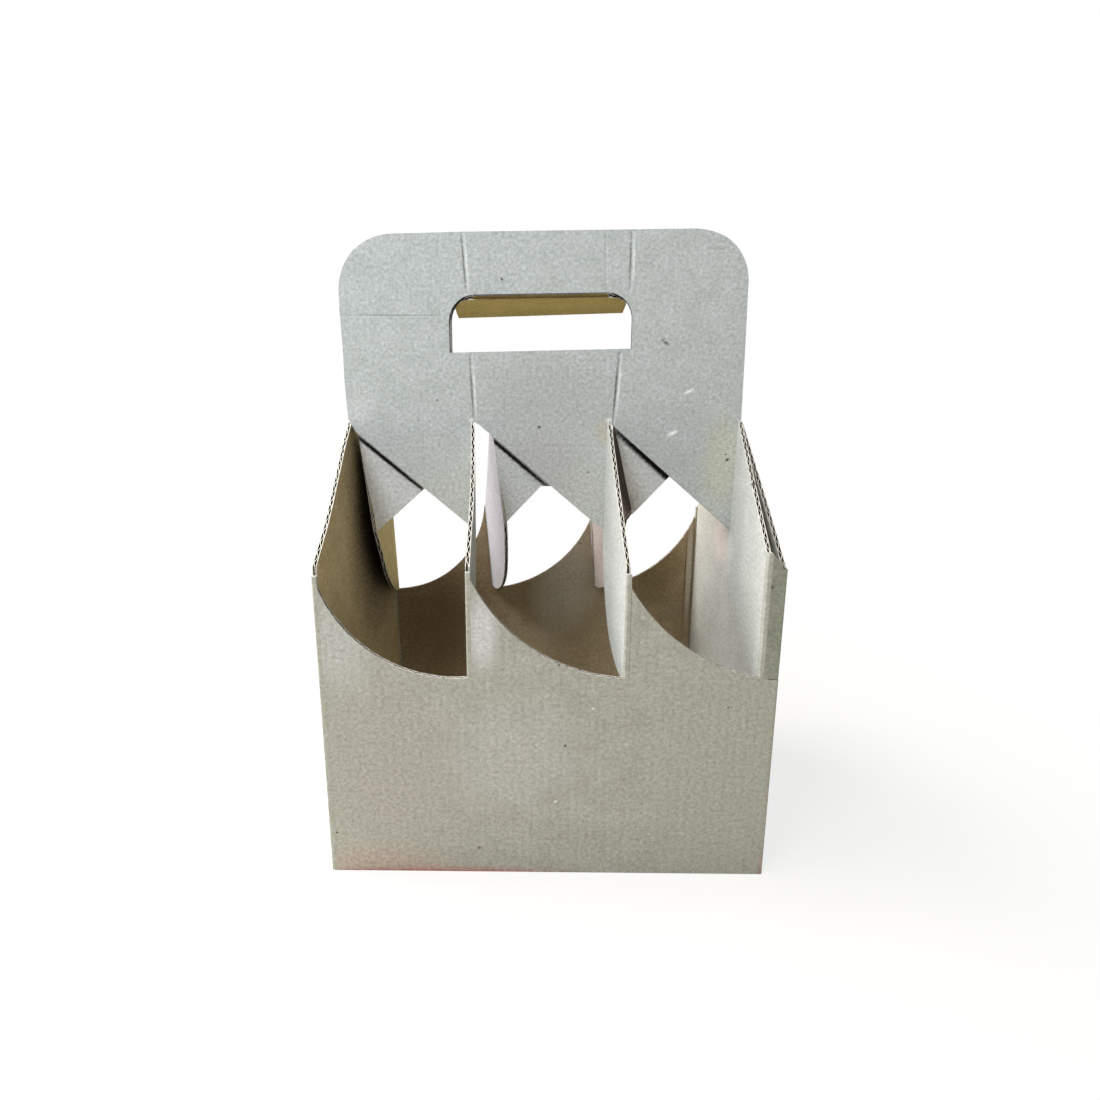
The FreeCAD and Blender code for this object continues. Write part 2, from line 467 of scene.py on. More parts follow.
def dotted(tree, where, base, spacing, rarity, biggest, tone, strength):
    """The paper with dots a spacing apart, each cell's lot above a rarity giving its dot a size."""
    cells = node(tree, "ShaderNodeTexVoronoi", {"Scale": 1 / spacing}, Vector=where)
    lot = node(tree, "ShaderNodeTexWhiteNoise", {"noise_dimensions": "3D"},
               Vector=cells.outputs["Position"])
    sizes = {"From Min": rarity, "From Max": 1.0, "To Min": 0.0, "To Max": biggest}
    size = node(tree, "ShaderNodeMapRange", sizes, Value=lot.outputs["Value"])
    dot = node(tree, "ShaderNodeMath", {"operation": "LESS_THAN"}, i0=cells.outputs["Distance"],
               i1=size.outputs[0])
    shade = node(tree, "ShaderNodeMath", {"operation": "MULTIPLY", "s1": strength}, i0=dot.outputs[0])
    return node(tree, "ShaderNodeMix", {"data_type": "RGBA", "s7": colour(tone)},
                s0=shade.outputs[0], s6=base.outputs[2])


def pressed(tree, where, height, crease, shift):
    """The bump's height with one pressed line in it."""
    x0, z0, x1, z1, wide, deep = crease
    middle = ((x0 + x1) / 2000 + shift, (z0 + z1) / 2000, 0)
    centre = node(tree, "ShaderNodeVectorMath", {"operation": "SUBTRACT", "s1": middle}, i0=where)
    half = math.hypot(x1 - x0, z1 - z0) / 2000
    turn = math.atan2(z1 - z0, x1 - x0) - math.pi / 2
    stretch = {"vector_type": "TEXTURE", "Scale": (wide / 1000, half, 1), "Rotation": (0, 0, turn)}
    line = node(tree, "ShaderNodeMapping", stretch, Vector=centre.outputs[0])
    parts = node(tree, "ShaderNodeSeparateXYZ", Vector=line.outputs[0])
    way = node(tree, "ShaderNodeMath", {"operation": "ABSOLUTE"}, i0=parts.outputs["Y"])
    inside_ends = node(tree, "ShaderNodeMapRange", {"From Min": 1.0, "From Max": 0.9},
                       Value=way.outputs[0])
    off = node(tree, "ShaderNodeMath", {"operation": "ABSOLUTE"}, i0=parts.outputs["X"])
    slope = {"interpolation_type": "SMOOTHSTEP", "From Min": 1.0, "From Max": 0.0, "To Max": -deep / 0.2}
    groove = node(tree, "ShaderNodeMapRange", slope, Value=off.outputs[0])
    kept = node(tree, "ShaderNodeMath", {"operation": "MULTIPLY"}, i0=groove.outputs[0],
                i1=inside_ends.outputs[0])
    return node(tree, "ShaderNodeMath", {"operation": "ADD"}, i0=height.outputs[0], i1=kept.outputs[0])


def recycled_paper(name, pale, deep, fibre_tone, ridge=0.0, shift=0.0, patches=(), creases=()):
    """Recycled kraft liner, pressed from grey-brown pulp: matt, mottled, with short pale fibres and
    dark specks, and the flutes' tips showing as faint upright ridges. Patches are soft
    ovals on the flat sheet in mm: x, z, half width, half height, turn, tone, strength. Creases are
    pressed lines from x, z to x, z with a half width and a depth."""
    material = bpy.data.materials.new(name)
    material.use_nodes = True
    tree = material.node_tree
    tree.nodes.clear()
    where = node(tree, "ShaderNodeUVMap", {"uv_map": "blank"}).outputs["UV"]
    cloud = node(tree, "ShaderNodeTexNoise", {"Scale": 1 / 0.012, "Detail": 6.0, "Roughness": 0.72},
                 Vector=where)
    grain = node(tree, "ShaderNodeTexNoise", {"Scale": 1 / 0.0017, "Detail": 4.0, "Roughness": 0.8},
                 Vector=where)
    long_way = node(tree, "ShaderNodeMapping", {"Scale": (1 / 0.0034, 1 / 0.0011, 1)}, Vector=where)
    fibres = node(tree, "ShaderNodeTexNoise", {"Scale": 1.0, "Detail": 2.0, "Distortion": 2.0},
                  Vector=long_way.outputs[0])
    spread = node(tree, "ShaderNodeMapRange", {"From Min": 0.32, "From Max": 0.68},
                  Value=cloud.outputs[0])
    pulp = node(tree, "ShaderNodeMix", {"data_type": "RGBA", "s6": colour(pale), "s7": colour(deep)},
                s0=spread.outputs[0])
    for patch in patches:
        pulp = tinted(tree, where, grain, pulp, patch, shift)
    roughness = {"From Min": 0.25, "From Max": 0.75, "To Min": 0.62, "To Max": 1.38}
    grit = node(tree, "ShaderNodeMapRange", roughness, Value=grain.outputs[0])
    rough = node(tree, "ShaderNodeMix", {"data_type": "RGBA", "blend_type": "MULTIPLY", "s0": 1.0},
                 s6=pulp.outputs[2], s7=grit.outputs[0])
    strand = node(tree, "ShaderNodeMapRange", {"From Min": 0.62, "From Max": 0.72, "To Max": 0.55},
                  Value=fibres.outputs[0])
    glint = [one / two for one, two in zip(colour(fibre_tone), colour(pale))]
    stranded = node(tree, "ShaderNodeMix", {"data_type": "RGBA", "blend_type": "MULTIPLY", "s7": glint},
                    s0=strand.outputs[0], s6=rough.outputs[2])
    flecked = dotted(tree, where, stranded, 0.0042, 0.35, 0.12, "#6b5c46", 0.3)
    specked = dotted(tree, where, flecked, 0.012, 0.5, 0.075, "#433a30", 0.65)
    waves = node(tree, "ShaderNodeTexWave", {"Scale": 2 * math.pi / 20 / (PITCH / 1000)}, Vector=where)
    low_waves = node(tree, "ShaderNodeMath", {"operation": "MULTIPLY", "s1": ridge},
                     i0=waves.outputs["Fac"])
    height = node(tree, "ShaderNodeMath", {"operation": "ADD"}, i0=grain.outputs[0],
                  i1=low_waves.outputs[0])
    for crease in creases:
        height = pressed(tree, where, height, crease, shift)
    bump = node(tree, "ShaderNodeBump", {"Strength": 0.6, "Distance": 0.0002}, Height=height.outputs[0])
    skin = node(tree, "ShaderNodeBsdfPrincipled", {"Roughness": 0.92, "Specular IOR Level": 0.25},
                Normal=bump.outputs[0], **{"Base Color": specked.outputs[2]})
    node(tree, "ShaderNodeOutputMaterial", Surface=skin.outputs[0])
    return material


def along(x0, z0, x1, z1, wide, tone, strength):
    """A patch that follows a line."""
    turn = math.degrees(math.atan2(z1 - z0, x1 - x0)) - 90
    return ((x0 + x1) / 2, (z0 + z1) / 2, wide, math.hypot(x1 - x0, z1 - z0) / 2, turn, tone, strength)


# tints, small dark marks and pale scuffs of the pulp on the front panel, in plan mm; the darker lower
# tints and the reddish lines along the bottom fold are painted shade
panel_tints = [(28, 45, 44, 62, 0, "#a5a298", 0.9), (180, 50, 46, 78, 0, "#a3a699", 0.9),
               (8, 112, 22, 30, 0, "#b3b5b0", 0.8), (72, 118, 9, 24, 0, "#c4c5c5", 0.9),
               (85, 60, 40, 38, 0, "#b3b1b0", 0.5), (22, 2, 48, 15, 0, "#b09a8d", 0.6),
               (60, 0, 64, 4.5, 0, "#aa8b80", 0.8), (50, 0, 75, 1.2, 0, "#a5525a", 0.55),
               (105, 103.5, 1.3, 0.7, 30, "#4d4a45", 0.9), (179, 84, 0.9, 0.6, 0, "#4a443c", 0.9),
               (108, 65, 0.9, 0.9, 0, "#4a443c", 0.9), (3.5, 20, 1.0, 0.8, 0, "#4a443c", 0.9),
               (120, 83, 0.9, 0.7, 0, "#e4e6e4", 0.9), (104, 37, 1.3, 0.8, 40, "#dcdedb", 0.8)]
# grey-brown and matt, darker and warmer towards the foot as painted shade, and a reddish painted shadow
# line along the bottom fold
outside = recycled_paper("recycled_kraft_liner", "#acaca2", "#9d9d91", "#cbcac1", ridge=0.5,
                         patches=panel_tints)

# the handle's face: cooler, darker towards its teeth as painted shade, with pressed creases whose shaded
# and lit sides are painted as dark and light lines beside each other, and small dents
crease_lines = [(57.9, 297.9, 60.0, 268.8, 1.3, 0.4), (61.0, 241.4, 62.8, 206.0, 1.3, 0.4),
                (140.8, 298.9, 140.8, 270.0, 1.3, 0.4), (136.6, 242.6, 134.0, 204.0, 1.3, 0.5),
                (-3.9, 258.4, 50.2, 258.4, 0.8, 0.2), (127.8, 298.9, 128.9, 270.0, 0.9, 0.15)]
# painted shade: the handle darker low down and over its teeth
handle_tints = [(97, 163, 135, 46, 0, "#babcb5", 0.9), (97, 222, 46, 26, 0, "#adb2b1", 0.9),
                (97, 184, 32, 30, 0, "#b3b4b1", 0.9), (191, 186, 15, 36, 0, "#bfc0ae", 0.75),
                (4, 212, 12, 10, 20, "#cfd3d4", 0.35)]
# painted shade and painted highlight: a dark line and a light line beside each crease
crease_painted_shade_and_light = [along(57.3, 299, 59.4, 268, 0.8, "#7d827c", 0.75),
                 along(60.4, 242, 62.2, 204, 0.8, "#7d827c", 0.75),
                 along(140.2, 299, 140.2, 270, 0.8, "#7d827c", 0.7),
                 along(136.0, 243, 133.4, 203, 0.9, "#6f736c", 0.85),
                 along(58.9, 299, 61.0, 268, 0.7, "#dde2df", 0.6),
                 along(62.0, 242, 63.8, 204, 0.7, "#dde2df", 0.6),
                 along(142.0, 299, 142.0, 270, 0.8, "#dde2df", 0.6),
                 along(137.7, 243, 135.1, 203, 0.8, "#dde2df", 0.65),
                 along(-4, 258.9, 50, 258.7, 0.5, "#868b86", 0.6)]
wear = [(159.4, 245.5, 2.2, 1.2, -35, "#5c5f5b", 0.9), (157.5, 247.0, 2.6, 0.9, 20, "#7a7d78", 0.6),
        (172.1, 221.9, 4.0, 1.1, 25, "#e6e8e4", 0.9), (164.4, 200.7, 4.2, 1.4, 28, "#eceeea", 1.0),
        (77.1, 275.7, 1.3, 0.7, -40, "#4b4d48", 1.0), (193.7, 187.3, 1.4, 1.0, 20, "#43443a", 1.0),
        (192.6, 190.0, 0.8, 0.6, 0, "#4b4d40", 0.9), (121.5, 180.6, 0.9, 0.7, 0, "#55564f", 0.9),
        (96.0, 203.8, 1.2, 1.0, 0, "#4b4b46", 1.0), (60.9, 207.4, 2.0, 1.4, 0, "#dfe3e1", 0.9),
        (131.6, 207.4, 2.4, 1.6, 0, "#dfe2de", 0.9), (128.5, 201.0, 5.0, 10.0, 8, "#b9b29a", 0.6)]
handle_liner = recycled_paper("recycled_kraft_handle_liner", "#bac0c0", "#adb3b2", "#d6dad8", ridge=0.2,
                              shift=3.0, patches=handle_tints + crease_painted_shade_and_light + wear,
                              creases=crease_lines)
# plain and pale grey, for the faces that lie against each other or look backwards
back_liner = recycled_paper("recycled_kraft_back_liner", "#b6b8b2", "#a9aba4", "#d0d1cb", ridge=0.3)

# the rear ply's inner face: pale teeth as painted light, with dark bands painted in place of the front
# ply's shadow and painted shade in the hand hole's corners
painted_shade = "#17120d"
under_edges = [along(WIDTH + 30, 224.5, WIDTH - 60, 148.5, 1.7, painted_shade, 1.0),
               along(WIDTH - 40, 224.2, WIDTH - 124, 152.0, 1.7, painted_shade, 1.0),
               along(WIDTH - 112, 222.6, WIDTH - 200, 146.0, 2.7, painted_shade, 1.0),
               (WIDTH - 56, 260, 8, 15, 0, painted_shade, 1.0),
               (WIDTH - 136.5, 262, 6, 12, 0, painted_shade, 1.0)]
rear_ply_liner = recycled_paper("recycled_kraft_rear_ply_liner", "#dadcda", "#cfd1ce", "#e9eae7",
                                ridge=0.2, shift=3.4,
                                patches=[(WIDTH - 85, 182, 26, 34, 0, "#c9cbca", 0.9)] + under_edges)
# the straps: light grey in front, one lilac at the rear, and one painted dark near the ply, where
# the photo shows it in shade
strap_liner = recycled_paper("recycled_kraft_strap_liner", "#c4c6c2", "#b8b9b4", "#dadbd6", ridge=0.3,
                             shift=2.0, patches=[(48, 112, 26, 32, 0, "#b7b9b0", 0.9)])
rear_strap_1_liner = recycled_paper("recycled_kraft_lilac_strap_liner", "#c6c3cb", "#bab6bd", "#dcdae0",
                                    ridge=0.3, shift=2.4,
                                    patches=[(35, 108, 30, 17, 0, "#b3b0ae", 0.8)])
rear_strap_2_liner = recycled_paper("recycled_kraft_shaded_strap_liner", "#b9aca6", "#ab9e97", "#cfc4be",
                                    ridge=0.3, shift=2.6,
                                    patches=[(4, 180, 26, 60, 0, "#2b1f17", 1.0)])
# darker and greener as painted shade, where the strip turns from the light, with three small smudges
strip_liner = recycled_paper("recycled_kraft_strip_liner", "#939688", "#858878", "#b3b4a6", ridge=0.3,
                             shift=2.8,
                             patches=[(194.0, 138.8, 1.4, 1.0, 0, "#4f5145", 0.9),
                                      (198.3, 137.5, 1.0, 1.0, 0, "#4f5145", 0.8),
                                      (192.9, 111.6, 1.2, 1.2, 0, "#6b6c5f", 0.8)])
# inner faces that catch the light: pale, with a pinkish patch on the right wall
inside = recycled_paper("recycled_kraft_inner_liner", "#c3c2bb", "#b5b3aa", "#d6d4cb", ridge=0.3,
                        shift=1.3, patches=[(86, 140, 17, 17, 0, "#d8c8c2", 0.7)])
# the flap: yellow-brown as painted shade, and darker where its fibres roll at the crease, as painted shade
flap_liner = recycled_paper("recycled_kraft_flap_liner", "#99884f", "#8a7942", "#ad9c64", ridge=0.2)
flap_fold = recycled_paper("recycled_kraft_flap_fold", "#65562f", "#574927", "#7b6c42")
# painted shade on inner faces: a warm brown for faces in shade, an ochre strap whose tone is painted warm
# light, and the left wall brown and painted dark towards the rear, as painted shade
inside_brown_painted_shade = recycled_paper("recycled_kraft_brown_painted_shade_liner", "#a8946f", "#97825b", "#bfab84", ridge=0.3)
ochre_painted_light_liner = recycled_paper("recycled_kraft_ochre_painted_light_liner", "#dccb8f", "#ccba7c", "#eadba6", ridge=0.3)
wall_inside = recycled_paper("recycled_kraft_left_wall_liner", "#beaa82", "#a8966e", "#cdbd94",
                             ridge=0.3, shift=1.0, patches=[(40, 155, 60, 100, 0, "#2e2216", 0.9)])
# the rear panel's inner face: warm brown as painted shade, a pale painted pool of light in the middle
# cell, darker painted shade in the outer cells, and a pale band between two dark lines at its right end
rear_inside = recycled_paper("recycled_kraft_rear_liner", "#b4a083", "#a28e6f", "#c9b799", ridge=0.3,
                             shift=0.7,
                             patches=[(86, 104, 30, 56, 12, "#dcd6c8", 0.6),
                                      (170, 70, 50, 60, 0, "#6e5636", 0.6),
                                      (27, 112, 20, 32, 0, "#93805c", 0.8),
                                      along(4.4, 60, 4.4, 150, 2.6, "#dcd5c6", 0.8),
                                      along(2.0, 60, 2.0, 150, 0.5, "#4f4230", 0.8),
                                      along(6.8, 60, 6.8, 150, 0.5, "#4f4230", 0.8)])
# cut edges: pale liner lines, with the fluting paper painted near black as the shade in the hollows
# between the flutes, and all painted dark as shade in the hand hole
hole_edge = recycled_paper("shaded_cut_edge", "#2b241c", "#231d16", "#3a3228")
cut_edge = recycled_paper("liner_cut_edge", "#dedacf", "#cfcabd", "#ebe8df")
flute_painted_shade = recycled_paper("fluting_paper_painted_shade", "#221d15", "#1a1610", "#2e281d")


# the folded sheet

STRIP = 191.4
STRIP_TURN = 0.3
X0 = -0.4
X1 = WIDTH + 0.4

# cut edges over the cells on the front panel: high end, middle, low end
front_cells = [((0.4, 142.8), (30.7, 104.0), (64.7, 97.0)),
               ((66.9, 142.1), (98.0, 107.5), (133.2, 97.2)),
               ((135.2, 137.9), (165.7, 107.6), (197.8, 96.8))]
# and on the rear panel, low end first
rear_cells = [((2.2, 95.2), (36.0, 107.5), (60.2, 152.0)),
              ((66.6, 96.4), (97.0, 106.0), (129.6, 143.5)),
              ((135.0, 97.0), (169.9, 110.4), (197.8, 145.5))]

pieces = []

# front panel
(a1, m1, b1), (a2, m2, b2), (a3, m3, b3) = front_cells
points = outline((BEND, 0), (WIDTH - BEND, 0), b3, (m3, a3), (a3[0], b2[1]), b2, (m2, a2),
                 (a2[0], b1[1]), b1, (m1, (BEND, 137.2)))
panel = sheet("front_panel", points, shift=0.0)
fold_to(panel, upright((X0, 0), (X1, 0), WIDTH, 0, 150))
pieces.append(panel)

# rear panel, drawn from outside, so from the right end
(a1, m1, b1), (a2, m2, b2), (a3, m3, b3) = rear_cells


def other_way(point):
    return (WIDTH - point[0], point[1])


LEAN = 3.4


def corner_lean(t, z):
    """The rear left corner leans out, and takes the panel's end along."""
    return (-LEAN * z / 150 * max(0, t - 0.9) / 0.1, 0)


points = outline((BEND, 0), (WIDTH - BEND, 0), other_way(a1), (other_way(m1), other_way(b1)),
                 other_way((64.5, a2[1])), other_way(a2), (other_way(m2), other_way(b2)),
                 other_way((132.8, a3[1])), other_way(a3), (other_way(m3), other_way(b3)))
panel = sheet("rear_panel", points, shift=0.7, liners=(outside, rear_inside))
fold_to(panel, upright((WIDTH, DEPTH), (0, DEPTH), WIDTH, 0, 150, corner_lean), 21)
pieces.append(panel)


def house(front_first):
    """Outline of a side wall: upright ends, and top edges that rise to the peak."""
    rise_front = (PEAK - HIGH_FRONT) / MIDDLE * BEND
    rise_rear = (PEAK - HIGH_REAR) / MIDDLE * BEND
    first, last = HIGH_FRONT + rise_front, HIGH_REAR + rise_rear
    if not front_first:
        first, last = last, first
    return outline((BEND, 0), (DEPTH - BEND, 0), (DEPTH - BEND, last), (MIDDLE, PEAK), (BEND, first))


def pushed_out(t, z):
    """The left wall is pushed out at the top by the handle, most of all at its rear corner."""
    share = 1 - 0.1 * t / 0.55 if t < 0.55 else 0.9 * (0.85 - t) / 0.3 if t < 0.85 else 0
    return (-LEAN * share * min(z, 150) / 150, 0)


def right_out(t, z):
    """The right wall stands out a little at its top."""
    return (0.5 * min(1, 6 * t) * min(z, 150) / 150, 0)


wall = sheet("left_wall", house(False), shift=1.0, liners=(outside, wall_inside))
fold_to(wall, upright((X0, DEPTH), (X0, 0), DEPTH, 0, PEAK, pushed_out), 21, 7)
pieces.append(wall)
wall = sheet("right_wall", house(True), shift=1.3)
fold_to(wall, upright((X1, 0), (X1, DEPTH), DEPTH, 0, PEAK, right_out), 13, 5)
pieces.append(wall)


def strap(name, ply, panel, y_ply, y_panel, top, low, shift, liners, bow=0.0):
    """A slanting strap from the handle's ply to its panel. ply and panel are the x of its two
    ends at the peak and at the tips' height. top and low are its edges as shares of the run
    and heights, from the ply to the panel. bow is how far its upper half bulges sideways."""
    run = math.hypot(panel[1] - ply[1], y_panel - y_ply)

    def flat(point):
        return (point[0] * run, point[1])

    runs = [tuple(flat(p) for p in part) if isinstance(part[0], tuple) else flat(part)
            for part in low[1:]]
    points = outline(flat(low[0]), *runs, *[flat(point) for point in reversed(top)])
    piece = sheet(name, points, shift=shift, liners=liners)

    def bulge(t, z):
        return (bow * math.sin(math.pi * min(1, max(0, t))) * min(1, max(0, (z - 135) / 30)), 0)

    place = between((ply[1], y_ply), (panel[1], y_panel), (ply[0], y_ply), (panel[0], y_panel), run,
                    TIP, PEAK, bulge)
    fold_to(piece, place, 9, 9)
    pieces.append(piece)
    return piece


front_liners = (strap_liner, inside_brown_painted_shade)
FRONT_PLY = MIDDLE - BOARD
REAR_PLY = MIDDLE + BOARD
front_top = [(0, PEAK), (1, HIGH_FRONT + 2)]
front_low = [(0, 148.2), ((0.13, 122.5), (0.41, 102.0)), ((0.66, 95.5), (1, 95.5))]
strap("strap_1", (60.7, 60.3), (64.7, 64.7), FRONT_PLY, BEND, front_top, front_low, 1.6,
      (strap_liner, back_liner), 1.0)
strap("strap_2", (131.0, 130.3), (133.0, 133.0), FRONT_PLY, BEND, front_top, front_low, 1.8, front_liners)
strap("strap_3", (198.1, 197.3), (STRIP, STRIP), FRONT_PLY, BEND, [(0, PEAK), (1, HIGH_FRONT + 9)],
      [(0, 151.5), ((0.08, 128.0), (0.30, 113.7)), (0.45, 109.0), (0.57, 105.3),
       ((0.80, 97.3), (1, 95.5))], 2.0, front_liners)
strap("rear_strap_0", (1.8, 7.9), (-2.0, 0.2), REAR_PLY, DEPTH - BEND, [(0, PEAK), (1, HIGH_REAR)],
      [(0, 148.0), ((0.10, 134.8), (0.23, 119.7)), ((0.50, 106.8), (1, 95.5))], 2.2,
      (ochre_painted_light_liner, strap_liner))
strap("rear_strap_1", (72.7, 79.1), (58.4, 62.9), REAR_PLY, DEPTH - BEND,
      [(0, PEAK), (0.25, 198.5), (0.6, 178.0), (1, HIGH_REAR + 2)],
      [(0, 151.7), ((0.09, 138.5), (0.25, 121.6)), ((0.50, 108.3), (1, 98.0))], 2.4,
      (inside_brown_painted_shade, rear_strap_1_liner))
strap("rear_strap_2", (136.3, 150.0), (128.3, 131.9), REAR_PLY, DEPTH - BEND,
      [(0, PEAK), (1, HIGH_REAR - 8)],
      [(0, 160.5), (0.22, 151.8), ((0.55, 125.0), (0.83, 101.2)), (0.92, 98.5), (1, 98.0)], 2.6,
      (inside_brown_painted_shade, rear_strap_2_liner))

# strip between strap 3 and the front right corner
points = outline((STRIP + BEND, 97.4), (WIDTH - BEND, 97.4), (WIDTH - BEND, 149.8),
                 (STRIP + BEND + 1.6, 151.0), (STRIP + BEND, 153.4))
strip = sheet("corner_strip", points, step=5, shift=2.8, liners=(strip_liner, inside_brown_painted_shade))
turn_back = upright((STRIP + BEND, 0), (X1 - BEND, STRIP_TURN), WIDTH - STRIP - 2 * BEND, 0, 150)
fold_to(strip, lambda x, y, z: turn_back(x - STRIP - BEND, y, z))
pieces.append(strip)

# handle: the front ply, then the rear ply turned half round
def lift(x):
    """The hand hole is cut a little askew: its right end stands higher."""
    return 0.4 + (x - TILT_X) / TILT_REACH * 0.7


inset = HOLE_CORNER * ARC_INSET
hole = outline((HOLE_LEFT, HOLE_LOW - 0.7), (HOLE_RIGHT, HOLE_LOW + 1.3),
               (HOLE_RIGHT, CREASE - HOLE_CORNER),
               ((HOLE_RIGHT - inset, CREASE - inset + lift(138)),
                (HOLE_RIGHT - HOLE_CORNER, CREASE + lift(130))),
               (HOLE_LEFT + HOLE_CORNER, CREASE + lift(63)),
               ((HOLE_LEFT + inset, CREASE - inset + lift(54)), (HOLE_LEFT, CREASE - HOLE_CORNER)))
upper = [(199.5, 207.0), (199.0, 246.4), (198.5, 272.0), ((195.4, 285.6), (186.8, 294.7)),
         ((179.0, 297.7), (169.0, 298.7)), (57.7, 297.4), (23.5, 296.6), ((13.6, 294.7), (4.5, 289.3)),
         ((-1.2, 281.5), (-4.0, 268.0)), (-4.1, 262.0), (-3.6, 245.0), (-3.6, 226.0), (-2.8, 207.4)]
points = outline((0.9, 201.0), (61.4, 149.9), (61.4, 206.5), (64.3, 205.4), (130.7, 149.0), (131.4, 206.3),
                 (133.0, 205.6), (135.1, 203.6), (197.5, 150.1), (198.8, 206.8), *upper)
front_ply = sheet("handle_front_ply", points, holes=[hole], shift=3.0, liners=(handle_liner, back_liner))
fold_to(front_ply, upright((0, FRONT_PLY), (WIDTH, FRONT_PLY), WIDTH, 140, 300))
pieces.append(front_ply)


def teeth_back(t, z):
    """The rear ply's teeth are drawn back a little by their straps."""
    return (0, 2.6 * max(0, 212 - z) / 60)


points = outline((0.8, 206.5), (1.2, 198.8), (7.2, 147.0), (34.9, 171.6), (60.0, 195.0), (61.0, 207.0),
                 (70.5, 207.0), (71.3, 204.0), (77.0, 151.7), (96.9, 172.8), (101.7, 172.8),
                 (128.8, 198.0), (130.2, 207.0), (135.2, 207.0), (136.0, 201.0), (146.0, 157.5),
                 (164.5, 177.8), (196.0, 206.5), *upper)
points = [other_way(point) for point in points]
rear_hole = [(WIDTH - x - REAR_HOLE_ASIDE, z + REAR_HOLE_RISE if z > HOLE_LOW + 5 else z)
             for x, z in hole]
rear_ply = sheet("handle_rear_ply", points, holes=[rear_hole], shift=3.4,
                 liners=(back_liner, rear_ply_liner))
fold_to(rear_ply, upright((WIDTH, REAR_PLY), (0, REAR_PLY), WIDTH, 140, 300, teeth_back), 3, 33)
pieces.append(rear_ply)

# corners and strap folds
folds = [fold("corner_front_left", X0 + BEND, BEND, 180, 270, 0, 142.5),
         fold("corner_front_right", X1 - BEND, BEND, 270, 360, 0, 96.9),
         fold("corner_strip_right", X1 - BEND, BEND + STRIP_TURN, 270, 360, 97.2, 146.5,
              liner=strip_liner),
         fold("corner_rear_right", X1 - BEND, DEPTH - BEND, 0, 90, 0, 151.5),
         fold("corner_rear_left", BEND, DEPTH - BEND, 90, 180, 0, 152.0, lean=-LEAN),
         fold("fold_1", 64.7 + BEND, BEND, 180, 270, 96.8, 144.5),
         fold("fold_2", 133.0 + BEND, BEND, 180, 270, 96.8, 144.0),
         fold("fold_3", STRIP + BEND, BEND, 180, 270, 97.4, 153.5),
         fold("rear_fold_1", 66.8 - BEND, DEPTH - BEND, 0, 90, 96.4, 152.5, lean=-4.2),
         fold("rear_fold_2", 135.0 - BEND, DEPTH - BEND, 0, 90, 97.0, 143.0, lean=-2.8)]
pieces += folds


def slab(name, x0, x1, y0, y1, z0, z1, material):
    """A bottom flap: a thin plate with its edges just rounded."""
    bpy.ops.object.select_all(action="DESELECT")
    bpy.ops.mesh.primitive_cube_add(size=1, location=(at(x0, y0, z0) + at(x1, y1, z1)) / 2)
    obj = bpy.context.object
    obj.name = name
    edit(obj)
    bpy.ops.transform.resize(value=at(x1, y1, z1) - at(x0, y0, z0))
    bpy.ops.mesh.bevel(offset=0.0004, segments=2, affect="EDGES")
    done()
    bpy.ops.object.transform_apply(location=True, rotation=True, scale=True)
    obj.data.materials.append(material)
    keep_flat_map(obj, 4.0)
    return obj


# bottom: end flaps glued on two long flaps
inner = BOARD + 0.1
wide_end = WIDTH - 1.0
pieces += [slab("bottom_flap_front", 1.0, wide_end, 0.6, MIDDLE - 0.02, 0, BOARD, outside),
           slab("bottom_flap_rear", 1.0, wide_end, MIDDLE + 0.02, DEPTH - 0.6, 0, BOARD, outside),
           slab("bottom_flap_left", inner, END_FLAP, inner, DEPTH - inner, BOARD, 2 * BOARD, inside),
           slab("bottom_flap_right", WIDTH - END_FLAP, WIDTH - inner, inner, DEPTH - inner, BOARD,
                2 * BOARD, inside)]

for piece in pieces:
    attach(piece, "box")
    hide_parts("carrier")

# flap of the hand hole, pushed back
left, right, r = HOLE_LEFT + FLAP_GAP, HOLE_RIGHT - FLAP_GAP, HOLE_CORNER - FLAP_GAP
z_top = CREASE - 1.25
z_arc = CREASE - HOLE_CORNER
points = outline((left, HOLE_LOW + FLAP_GAP), (right, HOLE_LOW + FLAP_GAP), (right, z_arc),
                 ((right - r * ARC_INSET, z_arc + r * (1 - ARC_INSET)), (HOLE_RIGHT - HOLE_CORNER, z_top)),
                 (HOLE_LEFT + HOLE_CORNER, z_top),
                 ((left + r * ARC_INSET, z_arc + r * (1 - ARC_INSET)), (left, z_arc)))
flap = sheet("hand_hole_flap_board", points, step=5, shift=3.7, liners=(flap_liner, flap_liner))
pivot_y = MIDDLE - BOARD / 2
pivot_z = CREASE - 0.3 - BOARD / 2


def swung(x, y, z):
    """The flap's place when it is pushed back, twisted a little more open at its right end."""
    opened = math.radians(FLAP_OPEN + (x - TILT_X) / TILT_REACH * FLAP_TWIST)
    drop = pivot_z - z
    depth = y - BOARD / 2
    spot_y = pivot_y + drop * math.sin(opened) + depth * math.cos(opened)
    spot_z = pivot_z - drop * math.cos(opened) + depth * math.sin(opened) + lift(x)
    return at(x, spot_y, spot_z)


fold_to(flap, swung, 7, 3)

